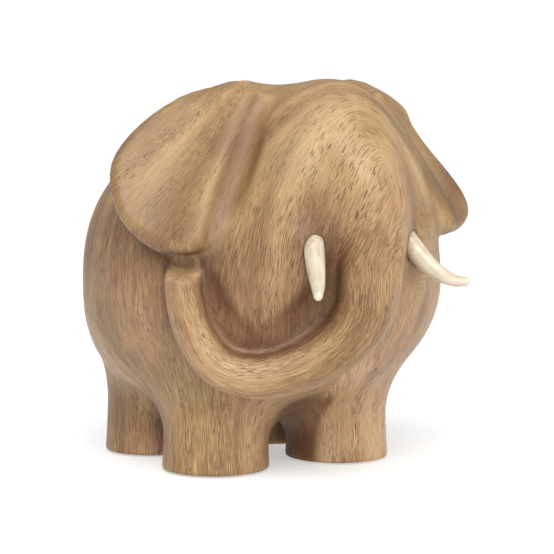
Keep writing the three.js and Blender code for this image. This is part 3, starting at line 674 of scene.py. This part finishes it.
# Broad changes of tone: x, y, z and reach in mm, and how much lighter or darker. They were set to
# match the look under this scene's lamps, so some stand in for light and shade, not wood colour.
TONES = [(-12, -125, 192, 26, 0.12), (100, -75, 150, 38, -0.27), (40, -62, 22, 38, 0.22),
         (-45, -66, 24, 26, 0.10), (-62, -110, 118, 24, -0.14), (-43, -118, 158, 24, -0.05),
         (-95, -60, 150, 42, -0.12), (-40, -100, 60, 24, -0.07), (-60, 40, 30, 40, -0.10),
         (60, -95, 85, 30, 0.05)]
tone_shift = sum(amount * np.exp(-((places - (a, b, c)) ** 2).sum(1) / wide ** 2)
                 for a, b, c, wide, amount in TONES)
# Painted light on the trunk's cut tip.
tone_shift += 0.16 * lip_face_painted_light

# The grain is sanded closed on the head and ears and lies more open lower down. Dark glue and dirt
# stain the wood close round each tusk.
sanded_head = ease(z, 128, 165) * ease(-y, 40, 70)
grain_open = 1.35 - 0.62 * np.maximum(ear_share * ease(z, 110, 140), sanded_head)
tusk_gap = np.full(count, 1e9)
for rows in TUSK_AXES.values():
    line = smooth_line(rows, 3)
    rods = np.column_stack([line, np.full(len(line), TUSK_ROOT_RADIUS)])
    tusk_gap = np.minimum(tusk_gap, where_near(places, rods))
STAIN_FADE = 1.6
stain = np.exp(-np.clip(tusk_gap, 0, 30) / STAIN_FADE)


def keep(piece, name, values):
    kind = "FLOAT_VECTOR" if values.ndim == 2 else "FLOAT"
    layer = piece.data.attributes.new(name, kind, "POINT")
    layer.data.foreach_set("vector" if values.ndim == 2 else "value", values.astype(np.float32).ravel())


for name, values in (("flank_fibre", flank), ("second_fibre", second), ("second_share", second_share),
                     ("third_fibre", third), ("third_share", third_share), ("hollow", hollow),
                     ("ridge", ridge), ("stain", stain), ("tone_shift", tone_shift),
                     ("open_grain", grain_open)):
    keep(body, name, values)


class Value:
    """A socket of a material's nodes, on which sums can be written."""

    def __init__(self, nodes, socket):
        self.nodes, self.socket = nodes, socket

    def maths(self, operation, *others):
        return self.nodes.add("ShaderNodeMath", {"operation": operation},
                              dict(enumerate([self, *others])))

    def __add__(self, other):
        return self.maths("ADD", other)

    def __sub__(self, other):
        return self.maths("SUBTRACT", other)

    def __rsub__(self, other):
        return self.nodes.add("ShaderNodeMath", {"operation": "SUBTRACT"}, {0: other, 1: self})

    def __mul__(self, other):
        return self.maths("MULTIPLY", other)

    __radd__, __rmul__ = __add__, __mul__

    def between(self, low, high):
        """0 below low, 1 above high, and a smooth step from one to the other."""
        return self.nodes.add("ShaderNodeMapRange", {"interpolation_type": "SMOOTHSTEP"},
                              {0: self, 1: low, 2: high, 3: 0.0, 4: 1.0})


class Finish:
    """The nodes of one material, made around a Principled shader."""

    def __init__(self, name, **constants):
        self.material = bpy.data.materials.new(name)
        self.material.use_nodes = True
        self.tree = self.material.node_tree
        self.shader = self.tree.nodes["Principled BSDF"]
        for socket, value in constants.items():
            self.shader.inputs[socket.replace("_", " ")].default_value = value

    def plug(self, socket, value):
        if isinstance(value, Value):
            self.tree.links.new(value.socket, socket)
        else:
            socket.default_value = value

    def add(self, kind, settings, sockets, output=0):
        node = self.tree.nodes.new(kind)
        for key, setting in settings.items():
            if key == "stops":
                for stop, (place, colour) in zip(range(len(setting)), setting):
                    if stop >= len(node.color_ramp.elements):
                        node.color_ramp.elements.new(place)
                    node.color_ramp.elements[stop].position = place
                    node.color_ramp.elements[stop].color = (*colour, 1)
            else:
                setattr(node, key, setting)
        for key, value in sockets.items():
            self.plug(node.inputs[key], value)
        return Value(self, node.outputs[output])

    def attribute(self, name, vector=False):
        output = "Vector" if vector else "Fac"
        return self.add("ShaderNodeAttribute", {"attribute_name": name}, {}, output)

    def scaled(self, vector, scale):
        return self.add("ShaderNodeVectorMath", {"operation": "MULTIPLY"}, {0: vector, 1: scale})

    def noise(self, vector, scale=1.0, detail=2.0, roughness=0.5):
        return self.add("ShaderNodeTexNoise", {"normalize": True},
                        {"Vector": vector, "Scale": scale, "Detail": detail, "Roughness": roughness})

    def mix(self, share, a, b):
        return self.add("ShaderNodeMix", {"data_type": "FLOAT"}, {0: share, 2: a, 3: b})

    def colours(self, share, a, b, blend="MIX"):
        a = (*a, 1) if isinstance(a, tuple) else a
        b = (*b, 1) if isinstance(b, tuple) else b
        return self.add("ShaderNodeMix", {"data_type": "RGBA", "blend_type": blend},
                        {0: share, 6: a, 7: b}, 2)

    def ramp(self, value, *stops):
        return self.add("ShaderNodeValToRGB", {"stops": stops}, {0: value})

    def bump(self, height, strength, distance):
        return self.add("ShaderNodeBump", {},
                        {"Height": height, "Strength": strength, "Distance": distance})

    def finish(self, piece, **links):
        for socket, value in links.items():
            self.plug(self.shader.inputs[socket.replace("_", " ")], value)
        piece.data.materials.clear()
        piece.data.materials.append(self.material)


# Light tan open-pored hardwood: broad soft growth bands, fine streaks, and short dark pores that
# gather in some of the bands. Satin wax, so the shine is broad and low.
wood = Finish("carved_tan_hardwood", IOR=1.45, Coat_IOR=1.45, Coat_Weight=0.18, Coat_Roughness=0.42,
              Specular_IOR_Level=0.5)


def fibre_layers(fibre_place):
    """Growth bands, streaks, hair-fine streaks, pores and where the pores gather."""
    bands = wood.noise(wood.scaled(fibre_place, (0.055, 0.055, 0.009)), 1.0, 2.0, 0.5)
    streaks = wood.noise(wood.scaled(fibre_place, (0.50, 0.50, 0.020)), 1.0, 3.0, 0.6)
    hairs = wood.noise(wood.scaled(fibre_place, (2.1, 2.1, 0.12)), 1.0, 2.0, 0.65)
    pores = wood.noise(wood.scaled(fibre_place, (2.5, 2.5, 0.22)), 1.0, 1.0, 0.4)
    pored = wood.noise(wood.scaled(fibre_place, (0.10, 0.10, 0.010)), 1.3, 2.0, 0.5)
    return [bands, streaks, hairs, pores, pored]


flank_layers = fibre_layers(wood.attribute("flank_fibre", vector=True))
second_layers = fibre_layers(wood.attribute("second_fibre", vector=True))
third_layers = fibre_layers(wood.attribute("third_fibre", vector=True))
share_two, share_three = wood.attribute("second_share"), wood.attribute("third_share")
bands, streaks, hairs, pores, pored = (
    wood.mix(share_three, wood.mix(share_two, a, b), c)
    for a, b, c in zip(flank_layers, second_layers, third_layers))
object_places = wood.add("ShaderNodeTexCoord", {}, {}, "Object")
mottle = wood.noise(object_places, 24.0, 2.0, 0.5)
warmth = wood.noise(wood.scaled(object_places, (1, 1, 0.6)), 17.0, 2.0, 0.5)
open_grain = wood.attribute("open_grain")
fine = (streaks - 0.5) * 0.22 + (hairs - 0.5) * 0.80
# Broad tones, some of which are painted light and shade.
tone = wood.attribute("tone_shift") + 0.5 + (bands - 0.5) * 0.70 + fine * open_grain
tone = tone + (mottle - 0.5) * 0.45
pore = pores.between(0.585, 0.65) * (pored + (open_grain - 1) * 0.08).between(0.45, 0.58)
yellow = wood.ramp(tone, (0.22, (0.168, 0.093, 0.035)), (0.40, (0.278, 0.165, 0.064)),
                   (0.52, (0.370, 0.229, 0.093)), (0.64, (0.456, 0.295, 0.127)),
                   (0.84, (0.57, 0.395, 0.195)))
red = wood.ramp(tone, (0.22, (0.172, 0.084, 0.037)), (0.40, (0.276, 0.147, 0.066)),
                (0.52, (0.360, 0.208, 0.098)), (0.64, (0.445, 0.272, 0.136)),
                (0.84, (0.55, 0.365, 0.195)))
base = wood.colours((warmth + (open_grain - 1) * 0.16).between(0.38, 0.66), yellow, red)
painted_shade_share = wood.attribute("hollow")
# Painted shade: the colour is darkened in hollows, creases, the curl and under the belly.
base = wood.colours(painted_shade_share.between(0.05, 0.80) * 0.95, base, (0.36, 0.24, 0.16), "MULTIPLY")
# Convex ridges painted lighter: partly wear, partly painted highlight.
base = wood.colours(wood.attribute("ridge").between(0.1, 0.7) * 0.25, base, (0.66, 0.47, 0.29))
base = wood.colours(pore * 0.72, base, (0.10, 0.048, 0.022))
base = wood.colours(wood.attribute("stain").between(0.35, 0.95) * 0.7, base, (0.10, 0.05, 0.025))
shine = 0.47 + (hairs - 0.5) * 0.25 + pore * 0.25 + painted_shade_share * 0.10
height = streaks * 0.3 + hairs * 0.8 - pore * 1.2
wood.finish(body, Base_Color=base, Roughness=shine, Normal=wood.bump(height, 0.55, 0.0006))
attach(body, "root")
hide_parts("carved_body")


# ---- Tusks --------------------------------------------------------------------------------------
# Two smooth off-white tusks of polished bone-like resin, each bent outwards. The root of each is
# bored for its dowel and sits in its socket with a fine dark line of glue all round.
for name, rows in TUSK_AXES.items():
    axis = smooth_line(rows, 12)
    bore = PIN_RADIUS + CLEARANCE
    deep = PIN_LENGTH / 2 + CLEARANCE
    profile = [(0, deep), (bore, deep), (bore, 0)] + tusk_profile(line_length(axis))
    tusk = turned("bone_" + name, profile, axis, 72, oval=-0.03)
    tusk.data.shade_smooth()
    tusk.data.set_sharp_from_angle(angle=math.radians(40))
    spots = np.empty(len(tusk.data.vertices) * 3)
    tusk.data.vertices.foreach_get("co", spots)
    spots = (spots.reshape(-1, 3) - BLOCK_ORIGIN) / MM
    steps = np.concatenate([[0], np.cumsum(np.linalg.norm(np.diff(axis, axis=0), axis=1))])
    nearest = ((spots[:, None] - axis[None]) ** 2).sum(-1).argmin(1)
    lengthwise = steps[nearest]
    ahead = np.gradient(axis, axis=0)[nearest]
    out = spots - axis[nearest]
    lengthwise = lengthwise + (out * ahead).sum(1) / np.linalg.norm(ahead, axis=1)
    keep(tusk, "down_tusk", np.stack([out[:, 0], out[:, 1] * 0.7 + out[:, 2] * 0.7, lengthwise], 1))
    keep(tusk, "from_root", lengthwise)
    keep(tusk, "above_wood", carving(spots))

    bone = Finish("bone_white_" + name, IOR=1.5)
    down = bone.attribute("down_tusk", vector=True)
    clouds = bone.noise(bone.scaled(down, (0.35, 0.35, 0.06)), 1.0, 2.0, 0.5)
    lines = bone.noise(bone.scaled(down, (1.9, 1.9, 0.045)), 1.0, 2.0, 0.55)
    cracks = 1 - (lines - 0.5).maths("ABSOLUTE").between(0.0, 0.016)
    cracked = bone.noise(bone.scaled(down, (0.4, 0.4, 0.05)), 1.7, 1.0, 0.5).between(0.42, 0.62)
    above = bone.attribute("above_wood")
    near_wood = 1 - above.between(0.6, 4.0)
    specks = bone.noise(bone.scaled(down, (1.2, 1.2, 1.2)), 1.0, 2.0, 0.6).between(0.5, 0.68)
    colour = bone.ramp(clouds, (0.3, (0.52, 0.43, 0.30)), (0.5, (0.64, 0.56, 0.43)),
                       (0.7, (0.72, 0.66, 0.55)))
    colour = bone.colours(cracks * cracked * (1 - bone.attribute("from_root").between(24, 46)) * 0.7,
                          colour, (0.36, 0.22, 0.11))
    colour = bone.colours(near_wood * (0.25 + specks * 0.55), colour, (0.38, 0.24, 0.12))
    rough = 0.34 + clouds * 0.12 + cracks * cracked * 0.2
    bone.finish(tusk, Base_Color=colour, Roughness=rough,
                Normal=bone.bump(clouds * 0.3 - cracks * cracked, 0.15, 0.0003))
    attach(tusk, "root")
    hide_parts(name)


# ---- Dowels -------------------------------------------------------------------------------------
# A short plain hardwood dowel joins each tusk to the head. Half of it sits in the tusk's bore and
# half in a hole drilled at the bottom of the socket, so neither end shows.
for name in ("pin_right", "pin_left"):
    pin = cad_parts[name]
    dowel = Finish("plain_dowel_" + name)
    dowel_places = dowel.add("ShaderNodeTexCoord", {}, {}, "Object")
    lengthwise = dowel.noise(dowel.scaled(dowel_places, (1600, 1600, 110)), 1.0, 3.0, 0.6)
    colour = dowel.ramp(lengthwise, (0.35, (0.42, 0.28, 0.14)), (0.6, (0.62, 0.46, 0.27)))
    dowel.finish(pin, Base_Color=colour, Roughness=0.6 + lengthwise * 0.2,
                 Normal=dowel.bump(lengthwise, 0.2, 0.0002))


# ---- Felt pads ----------------------------------------------------------------------------------
# Thin discs of brown pressed felt, one glued into a shallow recess under each foot. They stand a
# little proud of the wood, so that the heavy block does not scratch the shelf.
for name in PAD_NAMES:
    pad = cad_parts[name]
    felt = Finish("pressed_felt_" + name, Sheen_Weight=0.4, Sheen_Roughness=0.6)
    felt_places = felt.add("ShaderNodeTexCoord", {}, {}, "Object")
    hairs_in_felt = felt.noise(felt_places, 2600.0, 4.0, 0.7)
    patches = felt.noise(felt_places, 240.0, 2.0, 0.5)
    colour = felt.ramp(hairs_in_felt * 0.7 + patches * 0.3, (0.3, (0.035, 0.022, 0.014)),
                       (0.7, (0.11, 0.075, 0.05)))
    felt.finish(pad, Base_Color=colour, Roughness=0.85 + hairs_in_felt * 0.1,
                Normal=felt.bump(hairs_in_felt, 0.6, 0.0004))


# ---- Floor, light and camera --------------------------------------------------------------------
# A plain white table in a bright room. One broad lamp stands high on the left, and a weaker one low on
# the right lights the chest and the legs.
bpy.ops.mesh.primitive_circle_add(vertices=96, radius=6.0, fill_type="NGON")
floor = bpy.context.object
floor.name = "pale_floor"
pale = Finish("pale_floor", Roughness=0.95, Specular_IOR_Level=0.0, Emission_Strength=0.46,
              Emission_Color=(1.0, 1.0, 1.0, 1.0))
pale_places = pale.add("ShaderNodeTexCoord", {}, {}, "Object")
cloudy = pale.ramp(pale.noise(pale_places, 3.0), (0.0, (0.62, 0.62, 0.62)), (1.0, (0.65, 0.65, 0.65)))
pale.finish(floor, Base_Color=cloudy)
floor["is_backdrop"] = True

room = bpy.data.worlds.new("bright_room")
room.use_nodes = True
seen = room.node_tree.nodes["Background"]
seen.inputs[0].default_value = (1.0, 1.0, 1.0, 1)
lights_up = room.node_tree.nodes.new("ShaderNodeLightPath")
strength = room.node_tree.nodes.new("ShaderNodeMapRange")
strength.inputs[3].default_value, strength.inputs[4].default_value = 0.50, 1.05
room.node_tree.links.new(lights_up.outputs["Is Camera Ray"], strength.inputs[0])
room.node_tree.links.new(strength.outputs[0], seen.inputs[1])
scene.world = room


def lamp(name, place, spread, strength):
    light = bpy.data.lights.new(name, "SUN")
    light.angle, light.energy = math.radians(spread), strength
    stand = bpy.data.objects.new(name, light)
    bpy.context.collection.objects.link(stand)
    stand.rotation_euler = Vector(place).to_track_quat("Z", "Y").to_euler()


lamp("high_front", (-0.70, -1.15, 1.3), 40, 2.5)
lamp("low_front", (0.35, -1.2, 0.25), 50, 0.9)

VIEW_TURN, VIEW_RISE, VIEW_DISTANCE = math.radians(-30.7), math.radians(2.5), 0.834
view_right = Vector((math.cos(VIEW_TURN), math.sin(VIEW_TURN), 0))
view_back = Vector((math.sin(VIEW_TURN) * math.cos(VIEW_RISE),
                    -math.cos(VIEW_TURN) * math.cos(VIEW_RISE), math.sin(VIEW_RISE)))
target = Vector(BLOCK_ORIGIN) + view_right * 0.0196 + Vector((0, 0, 0.1055))
camera = bpy.data.objects.new("camera", bpy.data.cameras.new("camera"))
bpy.context.collection.objects.link(camera)
camera.data.sensor_width, camera.data.lens = 36.0, 90.3
camera.data.clip_start, camera.data.clip_end = 0.01, 50.0
camera.location = target + view_back * VIEW_DISTANCE
camera.rotation_euler = view_back.to_track_quat("Z", "Y").to_euler()
scene.camera = camera
scene.view_settings.view_transform = "Standard"

low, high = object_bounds()
